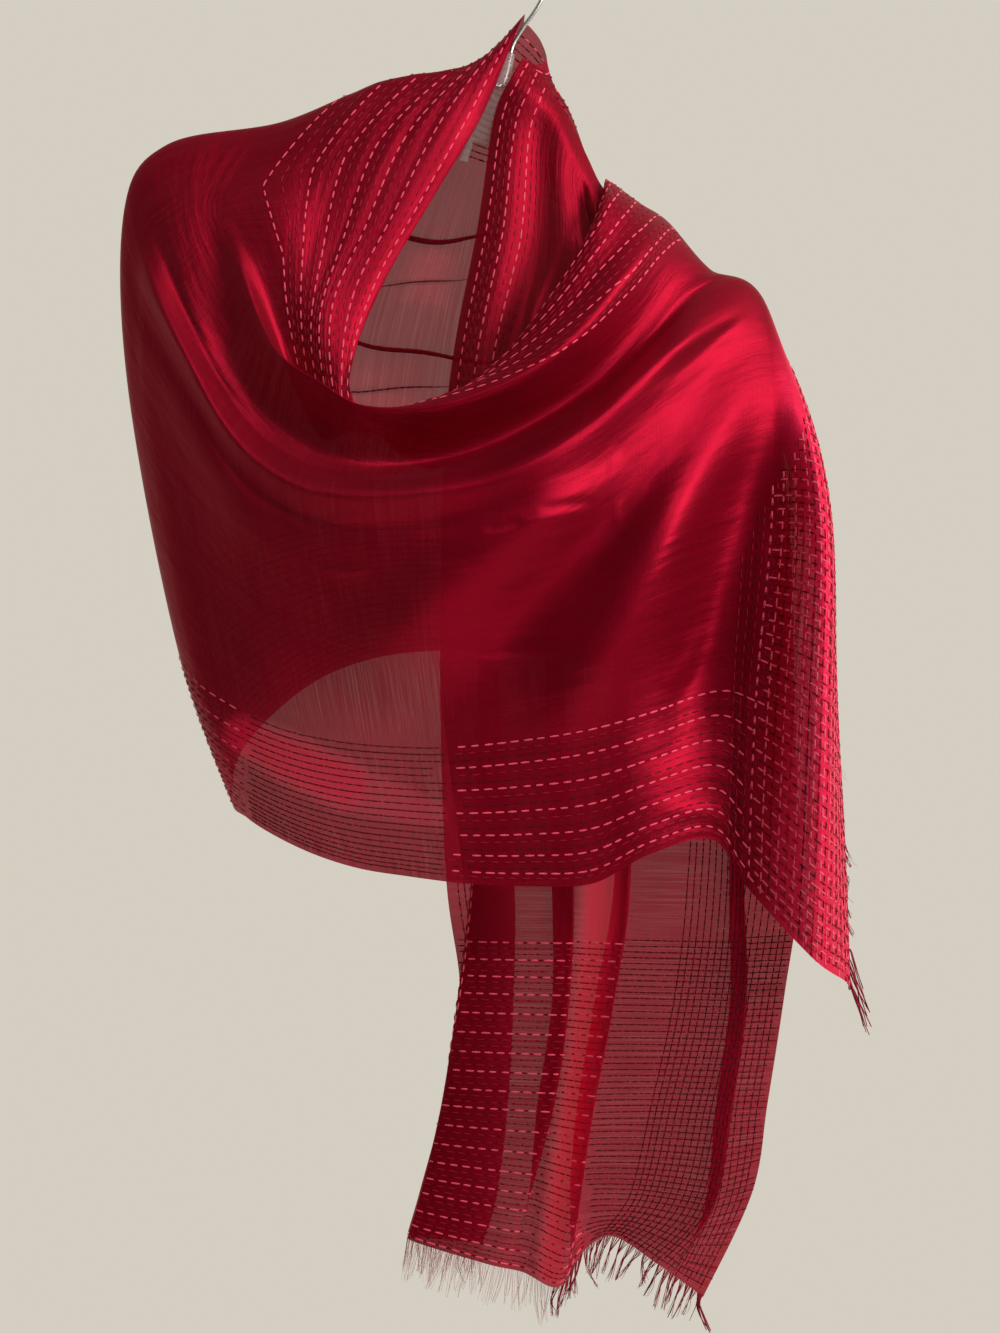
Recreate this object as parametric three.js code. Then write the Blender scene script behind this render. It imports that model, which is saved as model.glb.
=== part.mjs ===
// Kantha stole hung over a clear hanger, in millimetres, +Z up, +X to the right, +Y away from the front.
// The origin is the inner top of the hanger's hook. The stole is one long piece of silk. Its first end
// hangs low in front, the cloth goes up over the right arm of the hanger, across the back, round the left
// arm, across the front as a cowl and over the right shoulder, where its second end hangs.
import * as THREE from "three";

// Cloth and its edges
const WALL = 1.4;
const SEAM_GAP = 0.3;

// How far a wall stops short of each seam: more where it turns tightly, so that its inner corners stay clear
const END_TRIM = 0.45;
const LEFT_ARM_TRIM = 0.5;
const MIDDLE_TRIM = 0.28;
const SHOULDER_TRIM = 0.3;

const FRINGE_REACH = 30;
const THROWN_FRINGE_REACH = 20;
const FRINGE_DROOP = 0.5;

// How finely the cloth is faceted from edge to edge
const WRAP_ACROSS = 26;
const FALL_ACROSS = 34;

// Colours
const SILK_RED = 0x8c0a22;
const FRINGE_RED = 0xb04a58;
const CLEAR_PLASTIC = 0xe8e6e0;
const BRIGHT_STEEL = 0xb9b9b6;

// Hanger
const HANGER_THICKNESS = 6;
const HANGER_EDGE_ROUND = 2;
const HANGER_ROLL = THREE.MathUtils.degToRad(16);
const HANGER_CENTRE = { x: -13, z: -88 };
const ARM_REACH = 206;
const ARM_DROP = 117;
const ARM_TIP_RADIUS = 6;
const WEB_DEPTH = 43;
const BOSS_HEIGHT = 25;
const WIRE_RADIUS = 1.5;
const HOOK_RADIUS = 17;

// Each row is a section across the cloth, from its neck edge to its lower edge, and each column is a line
// that runs along the cloth: the neck edge, the rim of the cowl, the tuck behind its first fold, the crest
// of that fold, the hollow under it, the swag of the second fold, the belly, the border and the hem.
const WRAP_COLUMNS = ["neck", "rim", "tuck", "crest", "hollow", "swag", "belly", "border", "hem"];
const WRAP = [
  { at: "right arm", neck: [3, 0.55, -67], rim: [33, 0.55, -103], tuck: [60, 0.55, -160],
    crest: [98, 0.55, -190], hollow: [132, 0.55, -224], swag: [166, 0.55, -256], belly: [184, 4, -330],
    border: [194, 6, -460],
    hem: [197, 8, -585] },
  { at: "back of the right arm", neck: [13, 6, -70], rim: [35, 8, -101], tuck: [53, 12, -153],
    crest: [84, 16, -212], hollow: [110, 18, -252], swag: [138, 20, -296], belly: [158, 20, -372],
    border: [170, 21, -465], hem: [174, 20, -570] },
  { at: "back, right of the neck", neck: [20, 9, -66], rim: [29, 16, -108], tuck: [36, 23, -165],
    crest: [44, 34, -220], hollow: [54, 31, -270], swag: [66, 42, -320], belly: [76, 37, -380],
    border: [82, 40, -445], hem: [84, 36, -508] },
  { at: "back of the neck", neck: [16, 9, -53], rim: [-8, 20, -100], tuck: [-20, 26, -155],
    crest: [-28, 42, -205], hollow: [-36, 34, -255], swag: [-42, 48, -305], belly: [-46, 38, -365],
    border: [-48, 44, -430], hem: [-48, 38, -490] },
  { at: "back, left of the neck", neck: [9, 7, -44], rim: [-28, 18, -86], tuck: [-66, 26, -128],
    crest: [-96, 36, -172], hollow: [-118, 32, -218], swag: [-134, 42, -272], belly: [-142, 34, -345],
    border: [-142, 38, -430], hem: [-136, 34, -506] },
  { at: "back of the left arm", neck: [4, 5, -40.5], rim: [-36, 9, -76], tuck: [-90, 13, -104],
    crest: [-146, 16, -138], hollow: [-194, 19, -176], swag: [-224, 24, -230], belly: [-234, 22, -320],
    border: [-222, 23, -450], hem: [-196, 20, -556] },
  { at: "left arm", neck: [1.5, -1, -40.5], rim: [-36, -1, -73], tuck: [-100, -1, -85],
    crest: [-170, -1, -113], hollow: [-250, -2, -129], swag: [-279, -4, -176], belly: [-276, -9, -300],
    border: [-242, -12, -482], hem: [-203, -15, -596] },
  { at: "left front", neck: [-26, -17, -110], rim: [-86, -21, -128], tuck: [-150, -24, -154],
    crest: [-206, -26, -172], hollow: [-240, -30, -190], swag: [-264, -30, -222], belly: [-262, -34, -330],
    border: [-228, -38, -505], hem: [-190, -38, -607] },
  { at: "left of the cowl", neck: [-61, -28, -172], rim: [-115, -36, -200], tuck: [-166, -34, -232],
    crest: [-196, -46, -222], hollow: [-219, -46, -258], swag: [-235, -56, -278], belly: [-228, -54, -375],
    border: [-198, -53, -525], hem: [-168, -53, -619] },
  { at: "cowl, collar foot", neck: [-93, -41, -230], rim: [-134, -45, -256], tuck: [-158, -40, -296],
    crest: [-168, -66, -284], hollow: [-182, -60, -322], swag: [-196, -80, -344], belly: [-188, -74, -425],
    border: [-165, -64, -540], hem: [-140, -62, -631] },
  { at: "cowl, left of the neck opening", neck: [-114, -54, -285], rim: [-130, -54, -315],
    tuck: [-138, -50, -343], crest: [-134, -84, -310], hollow: [-146, -71, -350], swag: [-158, -97, -377],
    belly: [-148, -84, -445], border: [-130, -71, -548], hem: [-110, -65, -640] },
  { at: "cowl, left of the middle", neck: [-113, -46, -320], rim: [-114, -54, -338],
    tuck: [-112, -67, -337], crest: [-104, -95, -327], hollow: [-110, -77, -362], swag: [-117, -106, -388],
    belly: [-108, -90, -460], border: [-94, -74, -552], hem: [-78, -67, -645] },
  { at: "cowl, middle", neck: [-62, -42, -364], rim: [-60, -59, -334], tuck: [-58, -80, -320],
    crest: [-55, -100, -328], hollow: [-60, -72, -360], swag: [-64, -110, -386], belly: [-60, -92, -465],
    border: [-50, -74, -553], hem: [-38, -67, -650] },
  { at: "cowl, under the neck opening", neck: [-6, -48, -322], rim: [-8, -60, -285],
    tuck: [-4, -79, -295], crest: [0, -95, -308], hollow: [-8, -67, -343], swag: [-12, -106, -374],
    belly: [-6, -90, -458], border: [0, -74, -548], hem: [8, -67, -652] },
  { at: "cowl, right of the middle", neck: [20, -44, -282], rim: [20, -57, -248], tuck: [31, -71, -261],
    crest: [41, -84, -276], hollow: [47, -58, -308], swag: [46, -94, -342], belly: [46, -87, -442],
    border: [48, -73, -540], hem: [50, -67, -650] },
  { at: "cowl, foot of the right shoulder", neck: [44, -33, -226], rim: [50, -44, -197],
    tuck: [62, -55, -217], crest: [73, -64, -236], hollow: [87, -46, -266], swag: [93, -70, -298],
    belly: [96, -78, -412], border: [92, -68, -528], hem: [90, -64, -630] },
  { at: "right shoulder, front", neck: [56, -23, -184], rim: [61, -28, -170], tuck: [78, -34, -188],
    crest: [92, -40, -206], hollow: [112, -31, -234], swag: [130, -42, -264], belly: [142, -50, -392],
    border: [138, -46, -514], hem: [134, -46, -622] },
  { at: "right shoulder", neck: [62, -3, -154], rim: [68, -3, -158], tuck: [87, -4, -172],
    crest: [106, -5, -185], hollow: [134, -6, -218], swag: [170, -10, -243], belly: [176, -44, -378],
    border: [164, -50, -520], hem: [158, -50, -655] },
  { at: "right shoulder, outer side", neck: [70, 16, -171], rim: [76, 17, -176], tuck: [96, 20, -190],
    crest: [115, 21, -204], hollow: [145, 20, -233], swag: [182, 12, -268], belly: [205, -62, -385],
    border: [204, -82, -545], hem: [199, -76, -700] },
  { at: "second end, turned back", neck: [68, 40, -198], rim: [78, 42, -206], tuck: [102, 46, -220],
    crest: [124, 48, -234], hollow: [154, 45, -258], swag: [193, 30, -306], belly: [214, -24, -412],
    border: [221, -42, -562], hem: [226, -48, -720] },
  { at: "second end", neck: [64, 50, -266], rim: [78, 53, -272], tuck: [102, 56, -280],
    crest: [126, 57, -292], hollow: [156, 54, -310], swag: [192, 42, -344], belly: [213, 15, -432],
    border: [229, -6, -594], hem: [232, -26, -730] },
];

// The first end hangs in loose pleats: each row is a section across it at one height, and each column is a
// fold or an edge, from the neck side to the outer side.
const FALL_COLUMNS = ["neck", "turn", "fold", "pleat", "pleatBack", "ridge", "ridgeBack", "side", "valley",
  "valleyBack", "outer"];
const FALL = [
  { at: "right arm", neck: [3, -0.55, -67], turn: [14, -0.55, -78], fold: [26, -0.55, -94],
    pleat: [37, -0.55, -112], pleatBack: [49, -0.55, -138], ridge: [61, -0.55, -161],
    ridgeBack: [82, -0.55, -179], side: [104, -0.55, -195], valley: [130, -0.55, -222],
    valleyBack: [158, -0.55, -247], outer: [180, -0.55, -290] },
  { at: "over the arm", neck: [-5, -9, -82], turn: [8, -12, -94], fold: [21, -9, -107],
    pleat: [34, -10, -128], pleatBack: [47, -8, -153], ridge: [60, -10, -176], ridgeBack: [80, -9, -192],
    side: [103, -10, -209], valley: [131, -10, -237], valleyBack: [160, -10, -265], outer: [183, -6, -312] },
  { at: "under the arm", neck: [-18, -10, -112], turn: [-2, -15, -122], fold: [15, -10, -134],
    pleat: [30, -14, -150], pleatBack: [44, -11, -168], ridge: [58, -14, -190], ridgeBack: [78, -11, -206],
    side: [103, -13, -224], valley: [132, -13, -252], valleyBack: [162, -12, -284], outer: [186, -8, -335] },
  { at: "upper chest", neck: [-29, -18, -188], turn: [-10, -24, -196], fold: [12, -17, -204],
    pleat: [32, -22, -214], pleatBack: [50, -17, -226], ridge: [70, -21, -240], ridgeBack: [90, -17, -254],
    side: [114, -20, -270], valley: [142, -20, -292], valleyBack: [167, -17, -320], outer: [190, -10, -375] },
  { at: "behind the cowl", neck: [-51, -26, -320], turn: [-28, -34, -322], fold: [-6, -26, -326],
    pleat: [18, -30, -330], pleatBack: [42, -22, -334], ridge: [68, -29, -338], ridgeBack: [92, -21, -344],
    side: [120, -27, -352], valley: [148, -27, -364], valleyBack: [172, -20, -390], outer: [194, -10, -440] },
  { at: "over the back hem", neck: [-56, -13, -500], turn: [-18, -11, -502], fold: [-24, -27, -504],
    pleat: [28, -34, -506], pleatBack: [23, -20, -508], ridge: [72, -38, -510], ridgeBack: [67, -20, -512],
    side: [112, -25, -514], valley: [152, -30, -516], valleyBack: [158, -17, -522], outer: [196, -8, -545] },
  { at: "at the front hem", neck: [-52, -9, -650], turn: [-4, -5, -650], fold: [-33, -20, -650],
    pleat: [36, -32, -650], pleatBack: [24, -18, -650], ridge: [76, -38, -650], ridgeBack: [68, -17, -650],
    side: [112, -24, -650], valley: [156, -31, -650], valleyBack: [150, -16, -650], outer: [200, -6, -650] },
  { at: "below the front hem", neck: [-42, -9, -735], turn: [-4, -5, -735], fold: [-43, -19, -735],
    pleat: [32, -34, -735], pleatBack: [24, -20, -735], ridge: [65, -42, -735], ridgeBack: [55, -17, -735],
    side: [106, -22, -735], valley: [158, -29, -735], valleyBack: [150, -14, -735], outer: [189, -5, -735] },
  { at: "middle of the end", neck: [-54, -9, -810], turn: [-8, -5, -812], fold: [-55, -18, -812],
    pleat: [20, -34, -814], pleatBack: [13, -20, -814], ridge: [50, -44, -815], ridgeBack: [42, -18, -814],
    side: [94, -20, -812], valley: [148, -27, -812], valleyBack: [140, -13, -812], outer: [177, -5, -812] },
  { at: "above the fringe", neck: [-70, -9, -872], turn: [-16, -5, -878], fold: [-70, -19, -874],
    pleat: [-4, -31, -884], pleatBack: [8, -24, -886], ridge: [38, -46, -892], ridgeBack: [38, -20, -878],
    side: [82, -18, -876], valley: [134, -27, -882], valleyBack: [132, -14, -884], outer: [166, -5, -876] },
  { at: "first end", neck: [-79, -9, -903], turn: [-26, -5, -912], fold: [-79, -19, -905],
    pleat: [-24, -30, -920], pleatBack: [2, -26, -927], ridge: [27, -39, -934], ridgeBack: [44, -24, -914],
    side: [66, -18, -904], valley: [98, -26, -922], valleyBack: [112, -16, -934], outer: [131, -6, -950] },
];

// Creases that run over the front, as seen from the front: where each starts, bends and ends, how far it
// stands out (or in, where it is negative) and how wide it is.
const FRONT_CREASES = [
  { start: [172, -268], bend: [134, -380], end: [46, -520], depth: 9, width: 13 },
  { start: [150, -268], bend: [104, -372], end: [54, -470], depth: -9, width: 13 },
  { start: [196, -330], bend: [172, -440], end: [164, -690], depth: -14, width: 9 },
  { start: [-262, -250], bend: [-214, -390], end: [-120, -470], depth: 4, width: 16 },
];

// The points of one section, in the order of the columns.
function sectionPoints(row, columns) {
  return columns.map((name) => new THREE.Vector3(...row[name]));
}

// A smooth curve through the points, read at `at`, where whole numbers are the points themselves.
function smooth(points, at) {
  const last = points.length - 1;
  const whole = Math.min(Math.max(Math.floor(at), 0), last - 1);
  const f = at - whole;
  const pick = (i) => points[Math.min(Math.max(i, 0), last)];
  const [a, b, c, d] = [pick(whole - 1), pick(whole), pick(whole + 1), pick(whole + 2)];
  const blend = (w, x, y, z) => 0.5 * (2 * x + (y - w) * f + (2 * w - 5 * x + 4 * y - z) * f * f
    + (3 * x - w - 3 * y + z) * f * f * f);
  return new THREE.Vector3(blend(a.x, b.x, c.x, d.x), blend(a.y, b.y, c.y, d.y), blend(a.z, b.z, c.z, d.z));
}

// How far a point of the front is from a crease, and how far along the crease its foot lies.
function creaseReach(crease, x, z) {
  const path = new THREE.QuadraticBezierCurve(
    new THREE.Vector2(...crease.start),
    new THREE.Vector2(...crease.bend),
    new THREE.Vector2(...crease.end),
  );
  let nearest = { distance: Infinity, along: 0 };
  const steps = 16;
  for (let i = 0; i <= steps; i += 1) {
    const point = path.getPoint(i / steps);
    const distance = Math.hypot(point.x - x, point.y - z);
    if (distance < nearest.distance) nearest = { distance, along: i / steps };
  }
  return nearest;
}

// How far the creases push the cloth forward at a point, dying away at the two ends of each.
function creaseOffset(creases, x, z) {
  let offset = 0;
  for (const crease of creases) {
    const { distance, along } = creaseReach(crease, x, z);
    const fade = Math.sin(Math.PI * Math.min(Math.max(along, 0.08), 0.92));
    offset += crease.depth * fade * Math.exp(-((distance / crease.width) ** 2));
  }
  return offset;
}

// The cloth as a surface: `along` counts the rows of its table and `across` counts the columns.
function clothSurface(table, columns, relief = () => 0) {
  const rows = table.map((row) => sectionPoints(row, columns));
  return (along, across) => {
    const section = rows.map((row) => smooth(row, across));
    const point = smooth(section, along);
    point.y -= relief(point, along);
    return point;
  };
}

// The way the cloth runs and faces at a point of it.
function surfaceFrame(surface, along, across) {
  const step = 0.02;
  const down = surface(along, across + step).sub(surface(along, across - step));
  const run = surface(along + step, across).sub(surface(along - step, across));
  const normal = new THREE.Vector3().crossVectors(run, down).normalize();
  return { run: run.divideScalar(2 * step), normal };
}

// A closed wall round a grid of points, each with its own normal.
function wallFromGrid(grid, thickness) {
  const rows = grid.length;
  const columns = grid[0].length;
  const positions = [];
  for (const side of [0.5, -0.5]) {
    for (const row of grid) {
      for (const { point, normal } of row) {
        const moved = point.clone().addScaledVector(normal, side * thickness);
        positions.push(moved.x, moved.y, moved.z);
      }
    }
  }
  const faces = [];
  const quad = (a, b, c, d) => faces.push(a, b, c, a, c, d);
  const outer = (i, j) => i * columns + j;
  const inner = (i, j) => rows * columns + i * columns + j;
  for (let i = 0; i < rows - 1; i += 1) {
    for (let j = 0; j < columns - 1; j += 1) {
      quad(outer(i, j), outer(i + 1, j), outer(i + 1, j + 1), outer(i, j + 1));
      quad(inner(i, j), inner(i, j + 1), inner(i + 1, j + 1), inner(i + 1, j));
    }
  }
  for (let i = 0; i < rows - 1; i += 1) {
    quad(outer(i + 1, 0), outer(i, 0), inner(i, 0), inner(i + 1, 0));
    quad(outer(i, columns - 1), outer(i + 1, columns - 1), inner(i + 1, columns - 1), inner(i, columns - 1));
  }
  for (let j = 0; j < columns - 1; j += 1) {
    quad(outer(0, j), outer(0, j + 1), inner(0, j + 1), inner(0, j));
    quad(outer(rows - 1, j + 1), outer(rows - 1, j), inner(rows - 1, j), inner(rows - 1, j + 1));
  }
  const geometry = new THREE.BufferGeometry();
  geometry.setAttribute("position", new THREE.Float32BufferAttribute(positions, 3));
  geometry.setIndex(faces);
  geometry.computeVertexNormals();
  return geometry;
}

// One stretch of the cloth, from row `from` to row `to`, cut back by its two trims for its seams.
function stretch(surface, columns, { from, to, steps, across, trims }) {
  const grid = [];
  for (let i = 0; i <= steps; i += 1) {
    const along = THREE.MathUtils.lerp(from, to, i / steps);
    const trim = i === 0 ? trims[0] : i === steps ? -trims[1] : 0;
    const row = [];
    for (let j = 0; j <= across; j += 1) {
      const at = (j / across) * (columns.length - 1);
      const { run, normal } = surfaceFrame(surface, along, at);
      const point = surface(along, at).addScaledVector(run.normalize(), trim);
      row.push({ point, normal });
    }
    grid.push(row);
  }
  return wallFromGrid(grid, WALL);
}

// The threads left at an end, as one plain wall of their reach that carries on where the cloth stops.
function fringe(surface, columns, { from, reach, across, droop }) {
  const grid = [];
  for (const out of [END_TRIM, reach]) {
    const row = [];
    for (let j = 0; j <= across; j += 1) {
      const at = (j / across) * (columns.length - 1);
      const { run, normal } = surfaceFrame(surface, from, at);
      const heading = run.normalize().lerp(new THREE.Vector3(0, 0, -1), out === reach ? droop : 0);
      row.push({ point: surface(from, at).addScaledVector(heading, out), normal });
    }
    grid.push(row);
  }
  return wallFromGrid(grid, WALL);
}

// A place on the hanger, given in its own upright frame, once the hanger has rolled to its left.
function rolled(x, z) {
  const cos = Math.cos(HANGER_ROLL);
  const sin = Math.sin(HANGER_ROLL);
  return new THREE.Vector2(HANGER_CENTRE.x + x * cos + z * sin, HANGER_CENTRE.z - x * sin + z * cos);
}

// The clear moulded body: two arms that taper from a deep web to round tips, and a small strap tab.
function hangerBody() {
  const half = (side) => [
    [side * 8, 0],
    [side * 40, -25],
    [side * 130, -76],
    [side * (ARM_REACH - 4), ARM_TIP_RADIUS - ARM_DROP],
    [side * (ARM_REACH + ARM_TIP_RADIUS), -ARM_DROP],
    [side * (ARM_REACH + ARM_TIP_RADIUS - 2), -ARM_DROP - ARM_TIP_RADIUS],
    [side * (ARM_REACH - 12), -ARM_DROP - ARM_TIP_RADIUS],
    [side * 130, -WEB_DEPTH - 50],
    [side * 60, -WEB_DEPTH - 14],
  ];
  const tab = [[-8, -WEB_DEPTH - 1], [-8, -WEB_DEPTH - 16], [-14, -WEB_DEPTH - 16], [-14, -WEB_DEPTH - 3]];
  const outline = [...half(1), [0, -WEB_DEPTH], ...tab, ...half(-1).reverse()];
  const shape = new THREE.Shape(outline.map(([x, z]) => rolled(x, z)));
  const geometry = new THREE.ExtrudeGeometry(shape, {
    depth: HANGER_THICKNESS - 2 * HANGER_EDGE_ROUND,
    bevelThickness: HANGER_EDGE_ROUND,
    bevelSize: HANGER_EDGE_ROUND,
    bevelOffset: -HANGER_EDGE_ROUND,
    bevelSegments: 2,
  });
  geometry.translate(0, 0, HANGER_EDGE_ROUND - HANGER_THICKNESS / 2);
  geometry.rotateX(Math.PI / 2);
  return geometry;
}

// The boss that grips the hook, a short cone that stands on the web.
function hangerBoss() {
  const profile = [
    new THREE.Vector2(0, SEAM_GAP),
    new THREE.Vector2(7, SEAM_GAP),
    new THREE.Vector2(5, BOSS_HEIGHT * 0.55),
    new THREE.Vector2(3.2, BOSS_HEIGHT),
    new THREE.Vector2(0, BOSS_HEIGHT),
  ];
  const geometry = new THREE.LatheGeometry(profile, 24);
  geometry.rotateX(Math.PI / 2);
  geometry.rotateY(HANGER_ROLL);
  geometry.translate(HANGER_CENTRE.x, 0, HANGER_CENTRE.z);
  return geometry;
}

// The steel hook: a straight shank out of the boss, then an arc over the top to a free tip on the left.
function hangerHook() {
  const boss = rolled(0, BOSS_HEIGHT + 2 * SEAM_GAP);
  const middle = new THREE.Vector3(-0.5, 0, -HOOK_RADIUS);
  const radius = HOOK_RADIUS + WIRE_RADIUS;
  const points = [
    new THREE.Vector3(boss.x, 0, boss.y),
    new THREE.Vector3(-4.5, 0, -58),
    new THREE.Vector3(4, 0, -44),
    new THREE.Vector3(12, 0, -32.5),
  ];
  for (let turn = -20; turn <= 200; turn += 20) {
    const angle = THREE.MathUtils.degToRad(turn);
    points.push(new THREE.Vector3(
      middle.x + radius * Math.cos(angle),
      0,
      middle.z + radius * Math.sin(angle),
    ));
  }
  const path = new THREE.CatmullRomCurve3(points, false, "centripetal");
  const ring = new THREE.Shape();
  ring.absarc(0, 0, WIRE_RADIUS, 0, 2 * Math.PI);
  return new THREE.ExtrudeGeometry(ring, { extrudePath: path, steps: 44, curveSegments: 8 });
}

function plain(colour, roughness, metalness) {
  return new THREE.MeshStandardMaterial({ color: colour, roughness, metalness });
}

function named(name, geometry, material) {
  const mesh = new THREE.Mesh(geometry, material);
  mesh.name = name;
  return mesh;
}

const LEFT_ARM = WRAP.findIndex((row) => row.at === "left arm");
const MIDDLE = WRAP.findIndex((row) => row.at === "cowl, middle");
const RIGHT_SHOULDER = WRAP.findIndex((row) => row.at === "right shoulder");
const SECOND_END = WRAP.length - 1;
const FIRST_END = FALL.length - 1;
// The two sides of the fold over the right arm start this part of a row short of its top line.
const BACK_START = 0.04;
const FALL_START = 0.06;

// The creases act on the front only, and fade out just before the left arm and past the right shoulder.
const frontRelief = (point, along) => {
  const { smoothstep } = THREE.MathUtils;
  const rise = smoothstep(along, LEFT_ARM + 0.6, LEFT_ARM + 2);
  const settle = 1 - smoothstep(along, RIGHT_SHOULDER + 0.4, RIGHT_SHOULDER + 1.6);
  const onFront = rise * settle;
  return onFront > 0 ? onFront * creaseOffset(FRONT_CREASES, point.x, point.z) : 0;
};
const wrap = clothSurface(WRAP, WRAP_COLUMNS, frontRelief);
const fall = clothSurface(FALL, FALL_COLUMNS);

const silk = plain(SILK_RED, 0.42, 0);
const threads = plain(FRINGE_RED, 0.6, 0);
const clear = plain(CLEAR_PLASTIC, 0.08, 0);
const steel = plain(BRIGHT_STEEL, 0.25, 1);

const stole = new THREE.Group();
stole.add(named("hanging_end", stretch(fall, FALL_COLUMNS,
  { from: FALL_START, to: FIRST_END, steps: 23, across: FALL_ACROSS, trims: [END_TRIM, END_TRIM] }), silk));
stole.add(named("back_stretch", stretch(wrap, WRAP_COLUMNS,
  { from: BACK_START, to: LEFT_ARM, steps: 14, across: WRAP_ACROSS,
    trims: [END_TRIM, LEFT_ARM_TRIM] }), silk));
stole.add(named("cowl_left", stretch(wrap, WRAP_COLUMNS,
  { from: LEFT_ARM, to: MIDDLE, steps: 16, across: WRAP_ACROSS,
    trims: [LEFT_ARM_TRIM, MIDDLE_TRIM] }), silk));
stole.add(named("cowl_right", stretch(wrap, WRAP_COLUMNS,
  { from: MIDDLE, to: RIGHT_SHOULDER, steps: 13, across: WRAP_ACROSS,
    trims: [MIDDLE_TRIM, SHOULDER_TRIM] }), silk));
stole.add(named("shoulder_throw", stretch(wrap, WRAP_COLUMNS,
  { from: RIGHT_SHOULDER, to: SECOND_END, steps: 9, across: WRAP_ACROSS,
    trims: [SHOULDER_TRIM, END_TRIM] }), silk));
stole.add(named("hanging_fringe", fringe(fall, FALL_COLUMNS,
  { from: FIRST_END, reach: FRINGE_REACH, across: FALL_ACROSS, droop: FRINGE_DROOP }), threads));
stole.add(named("thrown_fringe", fringe(wrap, WRAP_COLUMNS,
  { from: SECOND_END, reach: THROWN_FRINGE_REACH, across: WRAP_ACROSS, droop: FRINGE_DROOP }), threads));
stole.add(named("hanger_body", hangerBody(), clear));
stole.add(named("hanger_boss", hangerBoss(), clear));
stole.add(named("hanger_hook", hangerHook(), steel));

export default stole;
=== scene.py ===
import math
import random

import bpy
import numpy as np
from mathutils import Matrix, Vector


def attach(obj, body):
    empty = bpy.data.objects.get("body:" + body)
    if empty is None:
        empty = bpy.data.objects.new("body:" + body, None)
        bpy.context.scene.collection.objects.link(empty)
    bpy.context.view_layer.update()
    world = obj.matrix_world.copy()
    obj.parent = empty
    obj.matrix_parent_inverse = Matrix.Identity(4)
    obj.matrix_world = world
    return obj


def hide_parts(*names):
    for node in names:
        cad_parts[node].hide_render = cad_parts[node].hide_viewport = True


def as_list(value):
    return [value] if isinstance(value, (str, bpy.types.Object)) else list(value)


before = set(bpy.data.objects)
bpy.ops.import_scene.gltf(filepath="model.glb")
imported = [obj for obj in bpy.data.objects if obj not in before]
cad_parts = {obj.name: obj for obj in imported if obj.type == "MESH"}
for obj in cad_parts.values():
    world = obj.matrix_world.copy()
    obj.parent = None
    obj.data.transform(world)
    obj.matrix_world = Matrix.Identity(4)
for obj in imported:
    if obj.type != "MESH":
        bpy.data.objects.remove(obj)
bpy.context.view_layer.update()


# ---- The hanging end ----
# One long length of thin silk has no seam in it. This stretch is its first end, which hangs low in front
# in loose pleats, goes up behind the cowl and makes the collar right of the neck. It lies over the right
# arm of the hanger, with its running-stitched border and end panel woven and stitched before it was hung.

MM = 0.001
CLOTH_WIDTH = 550 * MM
BORDER_WIDTH = 115 * MM
PLAIN_EDGE = 13 * MM
END_PANEL = 235 * MM
WORKED_RAMP = 30 * MM

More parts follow.
